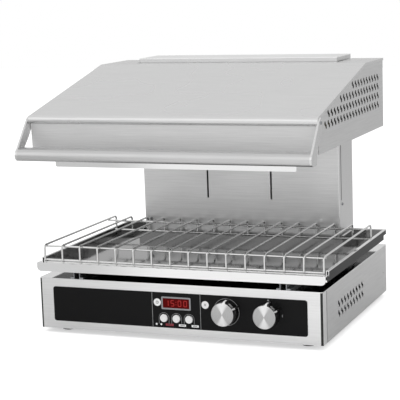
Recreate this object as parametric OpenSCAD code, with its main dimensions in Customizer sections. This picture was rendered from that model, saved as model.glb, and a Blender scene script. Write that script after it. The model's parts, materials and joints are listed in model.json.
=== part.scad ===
// Lift grill for melting and browning cheese.
// A heated hood rides up and down a rear column over a wire rack and a drip tray,
// all carried by a low base that holds the controls.
// Heights count from the floor, depths from the front face of the base, widths from the middle.

/* [Base] */
// Width of the base
base_w = 600; // [560:5:660]
// Depth of the base
base_d = 480; // [460:5:540]
// Height of the base without its feet
base_h = 104; // [100:2:124]
// Thickness of the folded steel sheet
sheet = 1.5; // [1.2:0.1:1.8]
// Outside radius of the bent front corners
bend_r = 5; // [3:0.5:8]
// Depth of the returns at the sides of the fascia
return_d = 22; // [16:1:30]
// Open joint between the fascia and a side panel
seam = 3; // [2:0.5:4]
// Height of the rubber feet
foot_h = 10; // [8:1:16]
// Diameter of the rubber feet
foot_d = 34; // [26:1:40]
// Distance of the foot centres from the edges of the base
foot_inset = 42; // [36:1:60]

/* [Controls] */
// Width of the black control plate
panel_w = 538; // [520:2:550]
// Height of the black control plate
panel_h = 71; // [69:1:80]
// Corner radius of the control plate
panel_r = 5; // [3:0.5:8]
// Thickness of the control plate
panel_t = 1; // [0.8:0.1:1.4]
// Distance of the left knob from the middle
knob_x1 = 105; // [100:1:115]
// Distance of the right knob from the middle
knob_x2 = 190; // [180:1:200]
// Height of the knob axes above the middle of the control plate
knob_up = 3.5; // [2:0.5:5]
// Diameter of a knob
knob_d = 46; // [42:1:50]
// Length of a knob
knob_l = 24; // [20:1:28]
// Reach of a knob's two ribs from its axis
rib_reach = 29; // [27:0.5:31]
// Diameter of the knob shafts
shaft_d = 6; // [5:0.5:7]
// Diameter of a push button
button_d = 15.4; // [13:0.2:17]
// Distance between neighbouring buttons
button_pitch = 26.7; // [26:0.1:28]
// Depth of the buttons below the middle of the control plate
button_down = 16; // [15:0.5:18]
// How far a button stands proud of the control plate
button_proud = 3; // [2:0.5:4]
// Travel of a push button
button_travel = 0.8; // [0.5:0.1:1]
// Width of the display frame
display_w = 62; // [58:1:66]
// Height of the display frame
display_h = 25.5; // [24:0.5:27]
// Height of the display above the middle of the control plate
display_up = 14.7; // [14:0.1:16]

/* [Vents] */
// Height of a vent slot
slot_h = 15; // [13:0.5:15.5]
// Width of a vent slot
slot_w = 8.5; // [7.5:0.1:9.5]
// Distance between neighbouring slots in a row
slot_pitch = 21.6; // [20.5:0.1:23]
// Distance between rows of slots
row_pitch = 19.5; // [18:0.5:21]
// How far the top of a slot leans forward
slot_lean = 7; // [4:0.5:9]

/* [Column] */
// Width of the column
col_w = 454; // [440:2:470]
// Depth of the column
col_d = 103; // [100:1:110]
// Height of the column above the base
col_h = 416.5; // [400:1:440]
// Width of the slots that the lift arms run in
arm_slot_w = 4; // [3.6:0.1:5]
// Distance of the front lift arms from the middle
arm_x = 73.5; // [65:0.5:85]
// Diameter of the guide rods
rod_d = 16; // [14:0.5:18]
// Distance of the guide rods from the middle
rod_x = 170; // [160:1:180]
// Diameter of the gas spring tubes
tube_d = 22; // [20:0.5:24]
// Distance of the gas springs from the middle
spring_x = 112; // [106:1:120]
// Diameter of the gas spring rods
spring_rod_d = 8; // [7:0.5:9]
// Travel of the hood
lift = 150; // [130:5:155]

/* [Hood] */
// Height of the hood's lower edge above the base when it is raised
hood_up = 261; // [258:1:272]
// Height of the hood at its flat top
hood_h = 146; // [140:1:152]
// Height of the rounded nose above the lower edge of the hood
nose_up = 62; // [60:0.5:66]
// Radius of the nose
nose_r = 8.5; // [7.5:0.5:9.5]
// How far the nose stands in front of the base
nose_out = 13; // [10:1:18]
// Depth at which the slope meets the flat top
slope_end = 335; // [310:5:350]
// Width of the hem along the edges of the top sheet
hem = 5; // [4:0.5:7]
// Width of the heater box
heater_w = 504; // [480:2:520]
// Depth of the heater box
heater_d = 320; // [300:5:330]
// How far the heater box hangs below the hood
heater_drop = 19; // [16:0.5:24]
// How far the bright strip along the front of the heater box hangs below the hood
strip_drop = 33.5; // [30:0.5:38]
// Thickness of the ceramic glass
glass_t = 4; // [3:0.5:5]
// Diameter of the quartz heating tubes
quartz_d = 12; // [10:1:14]
// Number of quartz heating tubes
quartz_n = 4; // [3:1:5]

/* [Handle] */
// How far the handle stands in front of the base
handle_out = 68; // [62:1:76]
// Height of the handle's rounded section
handle_h = 24; // [22:1:26]
// Depth of the handle's rounded section
handle_d = 34; // [30:1:36]
// Drop of the handle's underside below the lower edge of the hood
handle_drop = 14.5; // [8:0.5:16]
// Thickness of the handle's end plates
cheek_t = 4; // [3:0.5:5]

/* [Tray and rack] */
// Width of the tray
tray_w = 610; // [608:1:616]
// Depth of the tray
tray_d = 462; // [440:2:470]
// Distance of the tray behind the front of the base
tray_y = 2; // [0:0.5:4]
// Height of the tray's upper edge above the base
rim_up = 36.5; // [35:0.5:39]
// Depth of the pan below its upper edge
pan_depth = 23; // [20:0.5:24]
// Width of the folded edges along the sides and the rear
edge_w = 5.5; // [5:0.25:6]
// Height of the outer leg of the folded edges
edge_h = 10.5; // [9:0.5:13]
// Width of the low rim in front of the column
notch_rim = 12; // [11:0.5:13]
// How far the front rim and the rim at the column lie below the folded edges
front_drop = 6.5; // [4:0.5:8]
// Depth of the flat rim at the front
front_rim = 25; // [23:1:27]
// Height of the front lip of the tray
lip_h = 17.5; // [14:0.5:19]
// Thickness of the tray sheet
tray_t = 1.2; // [1:0.1:1.5]
// Gap between the tray and the column
tray_gap = 4; // [3:0.5:6]
// Diameter of the rack wires
wire_d = 4; // [3.5:0.1:5]
// Number of wires from front to back
wire_n = 16; // [12:1:18]
// Width of the rack between its outer wires
rack_w = 592; // [580:1:592]
// Height of the rack over the low rims
rack_h = 34.5; // [32:0.5:40]
// Radius of the bends in the rack wires
wire_bend = 7; // [6:0.5:10]

/* [Hidden] */
$fn = 32;

// Colours
steel = "#c9cacb";
steel_light = "#dcdddd";
steel_dark = "#8d8f91";
black = "#1c1c1e";
rubber = "#26262a";
white = "#f2f2f0";
ceramic = "#e9e4d8";
brass = "#c8a65a";

// Clearances
run_gap = 0.05;     // shaft in its bore, on the radius
fit_gap = 0.4;      // piece in a cut-out, on each side
move_gap = 4;       // hood beside the column
stack_gap = 0.3;    // loose piece over what carries it

// Heights
deck_z = foot_h + base_h;
inner_z = deck_z - sheet;
panel_z = foot_h + base_h / 2 - 0.5;
knob_z = panel_z + knob_up;
button_z = panel_z - button_down;
display_z = panel_z + display_up;
col_top = deck_z + col_h;
hood_z = deck_z + hood_up;
top_z = hood_z + hood_h;
rim_z = deck_z + rim_up;

// Depths
gland_len = 18;
col_y = base_d - col_d;
hood_back = base_d - 3;
liner_y = col_y - move_gap;
y_front = (handle_out - base_d - gland_len) / 2;

// Widths
side_x = base_w / 2 - sheet;
hood_in = base_w / 2 - 2 * sheet;
liner_x = col_w / 2 + move_gap;

// The lift: arms, slots and carriage
arm_t = arm_slot_w - 1.5;
arm_h = 60;
arm_z = hood_z + sheet;
slot_end = 3;
slot_z0 = arm_z - lift - slot_end;
slot_z1 = arm_z + arm_h + slot_end;
side_arm_y = col_y + 13;
plate_t = 3;
plate_y = col_y + 21;
plate_x = rod_x + 20;
rod_y = plate_y + plate_t + 24;
spring_y = rod_y + 25;
carriage_top = min(arm_z + 136, col_top - 22);
bar_z = carriage_top + 3;

// Nose of the hood and its slope
nose_y = nose_r - nose_out;
nose_z = hood_z + nose_up;
slope = atan((top_z - nose_z - nose_r) / (slope_end - nose_y));
nose_lip = 8;

// Heater box
heater_y = 4;
glass_z = hood_z - heater_drop + 3;

module at(x = 0, y = 0, z = 0) translate([x, y + y_front, z]) children();

// Turns a drawing in depth and height into a solid across the width
module across(x0, x1) translate([x0, y_front, 0]) rotate([90, 0, 90])
  linear_extrude(x1 - x0) children();

// Turns a drawing in width and height into a solid from depth y0 back to y1
module deep(y0, y1) at(0, y1, 0) rotate([90, 0, 0]) linear_extrude(y1 - y0) children();

module box(x0, x1, y0, y1, z0, z1) at(x0, y0, z0) cube([x1 - x0, y1 - y0, z1 - z0]);

module pin_y(x, z, r, y0, y1) at(x, y1, z) rotate([90, 0, 0]) cylinder(r = r, h = y1 - y0);

module pin_z(x, y, r, z0, z1) at(x, y, z0) cylinder(r = r, h = z1 - z0);

module pin_x(y, z, r, x0, x1) at(x0, y, z) rotate([0, 90, 0]) cylinder(r = r, h = x1 - x0);

module both_sides() for (s = [0, 1]) mirror([s, 0, 0]) children();

module round_rect(w, h, r) {
  square([w - 2 * r, h], center = true);
  square([w, h - 2 * r], center = true);
  for (x = [r - w / 2, w / 2 - r], y = [r - h / 2, h / 2 - r]) translate([x, y]) circle(r);
}

// Plan of a panel whose two front corners are bent round
module front_plan(w, d, r) {
  translate([-w / 2, r]) square([w, d - r]);
  translate([r - w / 2, 0]) square([w - 2 * r, 2 * r]);
  for (x = [r - w / 2, w / 2 - r]) translate([x, r]) circle(r);
}

// One leaning slot with round ends, its foot at the origin
module lean_slot() {
  run = slot_h - slot_w;
  translate([0, slot_w / 2]) circle(d = slot_w, $fn = 16);
  translate([-slot_lean, slot_w / 2 + run]) circle(d = slot_w, $fn = 16);
  polygon([[-slot_w / 2, slot_w / 2], [slot_w / 2, slot_w / 2],
    [slot_w / 2 - slot_lean, slot_w / 2 + run], [-slot_w / 2 - slot_lean, slot_w / 2 + run]]);
}

// A row of leaning slots that fills the stretch from a to b
module slot_row(a, b, z) {
  n = floor((b - a - slot_lean - slot_w) / slot_pitch);
  for (i = [0 : n]) translate([b - slot_w / 2 - i * slot_pitch, z]) lean_slot();
}

// ---------------------------------------------------------------- base

module base_floor() {
  x1 = base_w / 2 - 2 * sheet;
  color(steel_dark) difference() {
    at(0, 0, foot_h) linear_extrude(16) polygon([[bend_r - x1, sheet], [x1 - bend_r, sheet],
      [x1, bend_r + sheet], [x1, base_d - 2 * sheet], [-x1, base_d - 2 * sheet],
      [-x1, bend_r + sheet]]);
    box(2 * bend_r - x1, x1 - 2 * bend_r, 2 * sheet, base_d - 3 * sheet, foot_h + sheet, deck_z);
    box(sheet - x1, x1 - sheet, 2 * bend_r, base_d - 3 * sheet, foot_h + sheet, deck_z);
    for (i = [-3 : 3]) at(i * 40, base_d * 0.45, foot_h - 1)
      linear_extrude(4) round_rect(8, 60, 3.9);
  }
}

module base_front() {
  color(steel) difference() {
    at(0, 0, foot_h) linear_extrude(base_h - sheet) difference() {
      front_plan(base_w, return_d, bend_r);
      translate([0, sheet]) front_plan(base_w - 2 * sheet, return_d, bend_r - sheet);
    }
    control_holes(sheet);
  }
}

// Openings for the display, the buttons and the knob shafts
module control_holes(depth) {
  deep(-depth - 2, depth + 2) {
    translate([0, display_z]) square([display_w - 3, display_h - 3], center = true);
    for (i = [-1 : 1]) translate([i * button_pitch, button_z]) circle(d = button_d + 2 * fit_gap);
    for (x = [knob_x1, knob_x2]) translate([x, knob_z]) circle(d = shaft_d + 4);
  }
}

// Side panel on the right: joggled behind the fascia's return, vented, and bent in at the rear
module side_panel() {
  y0 = return_d + seam;
  vent_b = base_d * 0.6;
  color(steel) {
    difference() {
      box(side_x, side_x + sheet, y0, base_d, foot_h, inner_z);
      across(side_x - 1, side_x + sheet + 1) for (i = [0, 1])
        slot_row(vent_b - 190, vent_b, foot_h + 30.5 + i * row_pitch);
      at(side_x - 1, base_d - 26, foot_h + 46) rotate([0, 90, 0]) cylinder(d = 3, h = 4);
    }
    box(side_x - sheet, side_x, y0 - 12, y0 + 4, foot_h, inner_z);
    box(side_x - 16, side_x, base_d - sheet, base_d, foot_h, inner_z);
  }
}

module base_side_right() side_panel();

// The left panel is the same blank bent the other way
module base_side_left() mirror([1, 0, 0]) side_panel();

module base_rear() {
  x1 = base_w / 2 - 2 * sheet;
  color(steel) difference() {
    box(-x1, x1, base_d - 2 * sheet, base_d - sheet, foot_h, inner_z);
    pin_y(-gland_x, gland_z, 10 + fit_gap, base_d - 10, base_d + 10);
    deep(base_d - 10, base_d + 10) for (i = [0 : 2])
      slot_row(gland_inset - gland_x, base_w / 2 - 40, foot_h + 24 + i * row_pitch);
  }
}

// Polished top sheet with the same bent front corners as the fascia
module base_deck() {
  color(steel_light) difference() {
    at(0, 0, inner_z) linear_extrude(sheet) front_plan(base_w, base_d, bend_r);
    pin_z(0, rod_y, 14, inner_z - 1, deck_z + 1);
  }
}

module feet() {
  color(rubber) for (x = [-1, 1], y = [foot_inset, base_d - foot_inset])
    at(x * (base_w / 2 - foot_inset), y, 0) rotate_extrude() polygon([[0, 0], [foot_d / 2 - 3, 0],
      [foot_d / 2 - 1.5, 1.5], [foot_d / 2, foot_h], [0, foot_h]]);
}

// ------------------------------------------------------------ controls

module control_plate() {
  color(black) difference() {
    deep(-panel_t, 0) translate([0, panel_z]) round_rect(panel_w, panel_h, panel_r);
    control_holes(panel_t);
  }
}

collar_d = 4;

module display_frame() {
  color(steel_dark) difference() {
    union() {
      deep(-panel_t - 0.8, -panel_t) translate([0, display_z]) round_rect(display_w, display_h, 2);
      deep(-panel_t, collar_d) translate([0, display_z])
        square([display_w - 4, display_h - 4], center = true);
    }
    deep(-panel_t - 2, collar_d + 2) translate([0, display_z])
      square([display_w - 6, display_h - 6], center = true);
  }
}

module display_window() {
  color("#5a0d10") deep(-panel_t - 0.4, 1) translate([0, display_z])
    square([display_w - 6, display_h - 6], center = true);
}

board_y = 10;

module display_module() {
  color(black) deep(1, board_y) translate([0, display_z])
    square([display_w - 9, display_h - 9], center = true);
}

module control_board() {
  color("#1f5a38") difference() {
    box(-62, 62, board_y, board_y + 1.6, panel_z - 34, panel_z + 34);
    for (x = [-56, 56], z = [-28, 28]) pin_y(x, panel_z + z, 1.6, board_y - 1, board_y + 3);
  }
}

module board_posts() {
  color(brass) for (x = [-56, 56], z = [-28, 28]) pin_y(x, panel_z + z, 3, sheet, board_y);
}

switch_h = 4.3;
flange_y = sheet + 0.4;

module button_switches() {
  color(black) for (i = [-1 : 1]) {
    box(i * button_pitch - 6, i * button_pitch + 6, board_y - switch_h, board_y,
      button_z - 6, button_z + 6);
  }
}

// Cap, retaining flange behind the fascia and stem that stops just short of the switch
module push_button(x) {
  stem_end = board_y - switch_h - button_travel - 0.3;
  color(white) at(x, 0, button_z) rotate([90, 0, 0]) rotate_extrude() polygon([[0, -stem_end],
    [3, -stem_end], [3, -flange_y - 1], [button_d / 2 + 1.5, -flange_y - 1],
    [button_d / 2 + 1.5, -flange_y], [button_d / 2, -flange_y],
    [button_d / 2, panel_t + button_proud - 0.6], [button_d / 2 - 0.6, panel_t + button_proud],
    [button_d / 2 - 2, panel_t + button_proud], [button_d / 2 - 3, panel_t + button_proud - 0.4],
    [0, panel_t + button_proud - 0.4]]);
}

module button_left() push_button(-button_pitch);

module button_middle() push_button(0);

module button_right() push_button(button_pitch);

switch_d = 34;

// Rotary switch body behind the fascia, with the bore that the shaft turns in
module rotary_body(x, w, colour) {
  color(colour) difference() {
    union() {
      box(x - w / 2, x + w / 2, sheet, sheet + switch_d, knob_z - w / 2, knob_z + w / 2);
      for (i = [-1, 0, 1]) box(x + i * 12 - 3, x + i * 12 + 3, sheet + switch_d,
        sheet + switch_d + 9, knob_z - 10, knob_z - 9);
    }
    pin_y(x, knob_z, shaft_d / 2 + run_gap, 0, sheet + 24);
  }
}

module mode_switch() rotary_body(knob_x1, 40, "#3a3a3d");

module energy_regulator() rotary_body(knob_x2, 44, "#4a4036");

knob_back = panel_t + 0.6;

module shaft(x) {
  color(steel_dark) pin_y(x, knob_z, shaft_d / 2, -knob_back - 16, sheet + 22);
}

module shaft_left() shaft(knob_x1);

module shaft_right() shaft(knob_x2);

// Face of a knob: a disc, a tapered peak near the top, a thin rib and a finger scoop between
module knob_face() {
  rib = 28;
  peak = 78;
  difference() {
    union() {
      circle(d = knob_d);
      rotate(peak) polygon([[8, -7], [rib_reach - 1.5, -1.6], [rib_reach - 1.5, 1.6], [8, 12]]);
    }
    rotate((rib + peak) / 2) translate([knob_d / 2 + 6, 0]) circle(r = 11);
  }
  rotate(rib) translate([knob_d / 4, -1.5]) square([rib_reach + 1 - knob_d / 4, 3]);
}

module knob(x) {
  color(steel_light) difference() {
    at(x, -knob_back, knob_z) rotate([90, 0, 0]) {
      cylinder(r = knob_d / 2 - 3, h = 4);
      translate([0, 0, 3]) linear_extrude(knob_l - 4) knob_face();
      translate([0, 0, knob_l - 1]) cylinder(r1 = knob_d / 2, r2 = knob_d / 2 - 1, h = 1);
    }
    pin_y(x, knob_z, shaft_d / 2 + run_gap, -knob_back - 16 - run_gap, 0);
  }
}

module knob_left() knob(knob_x1);

module knob_right() knob(knob_x2);

// ------------------------------------------------- inside of the base

floor_z = foot_h + sheet;

module terminal_block() {
  color(white) difference() {
    box(-gland_x - 32, -gland_x + 32, base_d - 90, base_d - 62, floor_z, floor_z + 22);
    for (i = [-2 : 2]) {
      pin_z(-gland_x + i * 12, base_d - 83, 2.5, floor_z + 14, floor_z + 30);
      pin_z(-gland_x + i * 12, base_d - 69, 2.5, floor_z + 14, floor_z + 30);
    }
  }
}

relay_w = 45;
relay_d = 80;
relay_h = 50;
relay_x = -67.5;
relay_back = 150;

module power_relay() {
  y = base_d - relay_back;
  color("#46505a") {
    box(relay_x - relay_w / 2, relay_x + relay_w / 2, y - relay_d / 2, y + relay_d / 2,
      floor_z, floor_z + relay_h);
    for (i = [-1 : 1]) box(relay_x + i * 14 - 4.5, relay_x + i * 14 + 3.5, y - relay_d / 2 + 6,
      y + relay_d / 2 - 6, floor_z + relay_h, floor_z + relay_h + 8);
  }
}

core_w = 70;
core_d = 50;
core_h = 48;
coil_w = 46;
coil_d = 74;
core_x = 15;
core_back = 155;
core_foot = 4;

module transformer() {
  y = base_d - core_back;
  color("#6b5a45") {
    box(core_x - core_w / 2, core_x + core_w / 2, y - core_d / 2, y + core_d / 2,
      floor_z + core_foot, floor_z + core_foot + core_h);
    box(core_x - core_w / 2 - 10, core_x + core_w / 2 + 10, y - core_d / 2 + 8,
      y + core_d / 2 - 8, floor_z, floor_z + core_foot);
    box(core_x - coil_w / 2, core_x + coil_w / 2, y - coil_d / 2, y + coil_d / 2,
      floor_z + core_foot + 10, floor_z + core_foot + core_h - 10);
  }
}

gland_inset = 90;
gland_x = base_w / 2 - gland_inset;
gland_z = foot_h + 40;
gland_bore = 4.5;

// Strain relief through the rear panel: inner nut, six-sided flange and domed cap with its bore
module cable_gland() {
  r = 10;
  y1 = base_d - sheet;
  color(rubber) difference() {
    union() {
      pin_y(-gland_x, gland_z, r, y1 - 12, y1 + 1);
      at(-gland_x, y1 - sheet, gland_z) rotate([90, 0, 0]) cylinder(r = 14, h = 5, $fn = 6);
      at(-gland_x, y1 + 5, gland_z) rotate([90, 0, 0]) cylinder(r = 14, h = 5, $fn = 6);
      at(-gland_x, y1 + 5, gland_z) rotate([-90, 0, 0]) rotate_extrude() polygon([[0, 0],
        [12, 0], [12, 6], [10.5, 10], [7, gland_len + sheet - 5], [0, gland_len + sheet - 5]]);
    }
    pin_y(-gland_x, gland_z, gland_bore, y1 - 20, base_d + gland_len + 1);
  }
}

// Hat-shaped strips that carry the tray over the deck
module tray_runners() {
  x = 219;
  top = rim_z - pan_depth - stack_gap;
  color(steel) both_sides() deep(8, col_y - 14) difference() {
    union() {
      translate([x - 7, deck_z]) square([14, top - deck_z]);
      translate([x - 14, deck_z]) square([28, sheet]);
    }
    translate([x - 7 + sheet, deck_z - 1]) square([14 - 2 * sheet, top - deck_z + 1 - sheet]);
  }
}

// -------------------------------------------------------------- column

// Front and sides of the column in one sheet, with the four slots for the lift arms
module column_shell() {
  color(steel) difference() {
    at(0, col_y, deck_z) linear_extrude(col_h - sheet) difference() {
      front_plan(col_w, col_d - sheet, 3);
      translate([0, sheet]) front_plan(col_w - 2 * sheet, col_d, 3 - sheet);
    }
    both_sides() {
      box(arm_x - arm_slot_w / 2, arm_x + arm_slot_w / 2, col_y - 5, col_y + 5, slot_z0, slot_z1);
      box(col_w / 2 - 5, col_w / 2 + 5, side_arm_y - arm_slot_w / 2, side_arm_y + arm_slot_w / 2,
        slot_z0, slot_z1);
    }
  }
}

module column_rear() {
  x1 = col_w / 2;
  color(steel) difference() {
    box(-x1, x1, base_d - sheet, base_d, deck_z, col_top - sheet);
    deep(base_d - 10, base_d + 10) for (z = [deck_z + 30, deck_z + 30 + row_pitch,
      col_top - 50, col_top - 50 - row_pitch]) slot_row(-col_w * 0.3, col_w * 0.3, z);
  }
}

module column_cap() {
  color(steel_light) at(0, col_y, col_top - sheet) linear_extrude(sheet)
    front_plan(col_w, col_d, 3);
}

module guide_rods() {
  color(steel_light) both_sides() pin_z(rod_x, rod_y, rod_d / 2, deck_z, bar_z + 14);
}

// Flanged sockets on the deck and the cross bar that holds the rods at the top
module rod_mounts() {
  bore = rod_d / 2 + run_gap;
  color(steel_dark) {
    both_sides() difference() {
      union() {
        box(rod_x - 22, rod_x + 22, rod_y - 16, rod_y + 16, deck_z, deck_z + 4);
        pin_z(rod_x, rod_y, rod_d / 2 + 5, deck_z + 4, deck_z + 18);
      }
      pin_z(rod_x, rod_y, bore, deck_z - 1, deck_z + 30);
    }
    difference() {
      box(sheet - col_w / 2, col_w / 2 - sheet, rod_y - 13, rod_y + 12, bar_z, bar_z + 14);
      both_sides() pin_z(rod_x, rod_y, bore, bar_z - 1, bar_z + 20);
    }
  }
}

spring_bottom = deck_z + 26;
piston_z = carriage_top - lift - 36;
tube_top = carriage_top - lift - 20;
piston_h = 14;

// Gas spring tube: an eye at the foot, a wide bore and a narrow gland for the rod at the top
module spring_tubes() {
  color(black) both_sides() {
    difference() {
      union() {
        at(spring_x, spring_y, spring_bottom) rotate_extrude() difference() {
          square([tube_d / 2, tube_top - spring_bottom]);
          translate([-1, 6]) square([tube_d / 2, tube_top - spring_bottom - 14]);
          translate([-1, tube_top - spring_bottom - 20])
            square([spring_rod_d / 2 + run_gap + 1, 30]);
        }
        pin_x(spring_y, deck_z + 16, 9, spring_x - 4, spring_x + 4);
        box(spring_x - 4, spring_x + 4, spring_y - 9, spring_y + 9, deck_z + 16, spring_bottom);
      }
      pin_x(spring_y, deck_z + 16, 4 + run_gap, spring_x - 10, spring_x + 10);
    }
  }
}

// Forked bracket on the deck with the pin through the spring's eye
module spring_brackets() {
  color(steel_dark) both_sides() {
    box(spring_x - 10, spring_x + 10, spring_y - 10, spring_y + 10, deck_z, deck_z + 3);
    for (x = [spring_x - 8, spring_x + 5])
      box(x, x + 3, spring_y - 8, spring_y + 8, deck_z + 3, deck_z + 25);
    pin_x(spring_y, deck_z + 16, 4, spring_x - 10, spring_x + 10);
  }
}

module screw_x(x, y, z) at(x, y, z) rotate([0, 90, 0]) screw_head();

module screw_head() difference() {
  cylinder(r1 = 3.6, r2 = 2.6, h = 1.6);
  translate([0, 0, 1]) cylinder(d = 2.6, h = 2, $fn = 6);
}

module column_screws() {
  color(steel_dark) both_sides() {
    screw_x(col_w / 2, col_y + 20, deck_z + 101);
    at(col_w / 2 - 15, col_y, deck_z + 58) rotate([90, 0, 0]) screw_head();
  }
}

// ---------------------------------------------------------------- hood

// Side view under the hood's upper surface, drawn e inside the outer skin.
// It starts above height low and ends at depth back; the rolled nose ends in a short lip.
module hood_skin(e, low, back) {
  r = nose_r - e;
  lip = e > 0 ? nose_lip : 0;
  bend_y = slope_end - nose_r * sin(slope) + e * tan(slope / 2);
  start = r - 0.02;
  translate([nose_y, nose_z]) circle(r);
  polygon([[nose_y - start * sin(slope), nose_z + start * cos(slope)], [bend_y, top_z - e],
    [back, top_z - e], [back, low], [nose_y + lip, low], [nose_y + lip, nose_z - start],
    [nose_y, nose_z - start]]);
}

// Slot in plan that lets the hood pass the column
module column_notch() translate([-liner_x, liner_y]) square([2 * liner_x, base_d]);

// One sheet: rolled nose, slope, flat top and a hem down each side
module hood_top() {
  color(steel_light) difference() {
    union() {
      across(-base_w / 2, base_w / 2) difference() {
        hood_skin(0, nose_z - nose_r, hood_back);
        hood_skin(sheet, nose_z - nose_r - 1, hood_back + 1);
      }
      both_sides() across(side_x, base_w / 2) difference() {
        hood_skin(0, nose_z - nose_r, hood_back);
        hood_skin(hem, nose_z - nose_r - 1, hood_back + 1);
      }
    }
    at(0, 0, hood_z) linear_extrude(hood_h + 10) column_notch();
  }
}

// Front edge of the side panels, from the nose down to the lower edge of the hood
front_top_y = nose_y - 0.5;
front_low_y = -2;

module hood_side() {
  z1 = nose_z - nose_r;
  color(steel) difference() {
    union() {
      across(hood_in, side_x) hood_skin(sheet, hood_z, hood_back);
      across(hood_in, side_x) polygon([[front_top_y, z1], [nose_y + nose_lip + 1, z1],
        [nose_y + nose_lip + 1, hood_z], [front_low_y, hood_z]]);
    }
    across(hood_in - 1, side_x + 1) for (i = [0 : 3])
      slot_row(hood_row_start(i), hood_back - 37, hood_z + 43 + i * row_pitch);
  }
}

// Each higher row starts further back, so that the field follows the slope
function hood_row_start(i) = [31, 56, 143, 222][i];

module hood_side_right() hood_side();

module hood_side_left() mirror([1, 0, 0]) hood_side();

// Recessed front panel that leans back from the nose to the lower edge
module hood_front() {
  z1 = nose_z - nose_r;
  lean = (front_low_y - front_top_y) * sheet / (z1 - hood_z);
  color(steel) across(-hood_in, hood_in) polygon([[front_top_y, z1], [nose_y + nose_lip, z1],
    [nose_y + nose_lip, z1 - sheet], [front_top_y + sheet + lean, z1 - sheet],
    [front_low_y + sheet, hood_z], [front_low_y, hood_z]]);
}

heater_x = heater_w / 2;

module hood_pan() {
  color(steel) at(0, 0, hood_z) linear_extrude(sheet) difference() {
    translate([-hood_in, front_low_y + sheet])
      square([2 * hood_in, hood_back - sheet - front_low_y - sheet]);
    column_notch();
    translate([-heater_x + 14, heater_y + 18]) square([heater_w - 28, heater_d - 32]);
  }
}

// Walls of the hood round the column
module hood_liner() {
  color(steel) at(0, 0, hood_z + sheet) linear_extrude(hood_h - 2 * sheet) difference() {
    translate([-liner_x - sheet, liner_y - sheet])
      square([2 * liner_x + 2 * sheet, hood_back - sheet - liner_y + sheet]);
    translate([-liner_x, liner_y]) square([2 * liner_x, base_d]);
  }
}

module hood_rear() {
  color(steel) both_sides() box(liner_x, hood_in, hood_back - sheet, hood_back,
    hood_z, top_z - sheet);
}

// Frame below the pan that holds the glass on an inward ledge, with a deeper strip at the front
module heater_box() {
  z0 = hood_z - heater_drop;
  color(white) {
    difference() {
      at(0, heater_y, z0) linear_extrude(heater_drop) translate([0, heater_d / 2])
        round_rect(heater_w, heater_d, 2);
      box(sheet - heater_x, heater_x - sheet, heater_y + sheet, heater_y + heater_d - sheet,
        z0 + 3, hood_z + 1);
      box(12 - heater_x, heater_x - 12, heater_y + 12, heater_y + heater_d - 12, z0 - 1, z0 + 5);
    }
    deep(heater_y, heater_y + sheet) translate([0, hood_z - strip_drop / 2])
      round_rect(heater_w, strip_drop, 3);
  }
}

module ceramic_glass() {
  e = sheet + fit_gap;
  color("#202226") box(e - heater_x, heater_x - e, heater_y + e, heater_y + heater_d - e,
    glass_z, glass_z + glass_t);
}

quartz_z = glass_z + glass_t + 10;
holder_x = heater_x - 26;
holder_h = 20;

function quartz_y(i) = heater_y + heater_d * (i + 0.5) / quartz_n;

module quartz_tubes() {
  color("#efe9dc") for (i = [0 : quartz_n - 1]) difference() {
    pin_x(quartz_y(i), quartz_z, quartz_d / 2, -holder_x - 8, holder_x + 8);
    pin_x(quartz_y(i), quartz_z, quartz_d / 2 - 1.2, -holder_x - 9, holder_x + 9);
  }
}

// Ceramic end blocks that stand on the glass and carry the tubes
module tube_holders() {
  color(ceramic) both_sides() difference() {
    box(holder_x - 6, holder_x + 6, heater_y + 24, heater_y + heater_d - 24,
      glass_z + glass_t, glass_z + glass_t + holder_h);
    for (i = [0 : quartz_n - 1]) pin_x(quartz_y(i), quartz_z, quartz_d / 2 + run_gap,
      holder_x - 10, holder_x + 10);
  }
}

reflector_z = glass_z + glass_t + holder_h;

// Folded reflector over the tubes, resting on the end blocks
module reflector() {
  e = 16;
  color(steel_light) difference() {
    box(e - heater_x, heater_x - e, heater_y + e + 4, heater_y + heater_d - e - 4,
      reflector_z - 12, reflector_z + 1);
    box(e + 1 - heater_x, heater_x - e - 1, heater_y + e + 5, heater_y + heater_d - e - 5,
      reflector_z - 13, reflector_z);
  }
}

module insulation() {
  color("#d8cfa8") box(18 - heater_x, heater_x - 18, heater_y + 24, heater_y + heater_d - 24,
    reflector_z + 1, reflector_z + 26);
}

// -------------------------------------------------------------- handle

bar_low = hood_z - handle_drop;
bar_y0 = -handle_out;
bar_y1 = handle_d - handle_out;
bar_r = handle_h / 2;

// Section of the bar, drawn e inside its skin: a half-round front and a square back
module bar_section(e) {
  translate([bar_y0 + bar_r, bar_low + bar_r]) circle(bar_r - e);
  translate([bar_y0 + bar_r, bar_low + e]) square([handle_d - bar_r - e, handle_h - 2 * e]);
}

module handle_bar() {
  color(steel_light) across(-base_w / 2, base_w / 2) difference() {
    bar_section(0);
    bar_section(sheet);
  }
}

// End plates: they reach from the nose down and forward to close the ends of the bar
module handle_cheeks() {
  gap_z = hood_z + 25.5;
  gap_y = -16;
  color(steel_light) both_sides() across(base_w / 2, base_w / 2 + cheek_t) {
    translate([bar_y0 + bar_r, bar_low + bar_r]) circle(bar_r);
    polygon([[nose_y - nose_r, nose_z + 2], [nose_y + 2, nose_z + nose_r - 1],
      [nose_y + 6, nose_z + 2], [nose_y + 5, nose_z - nose_r - 8], [gap_y, gap_z],
      [bar_y1 + 2, bar_low + handle_h + 1], [bar_y1, bar_low],
      [bar_y0 + bar_r, bar_low], [bar_y0, bar_low + bar_r], [bar_y0 + 0.6, bar_low + bar_r + 3]]);
  }
}

// ---------------------------------------------------------------- lift

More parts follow.
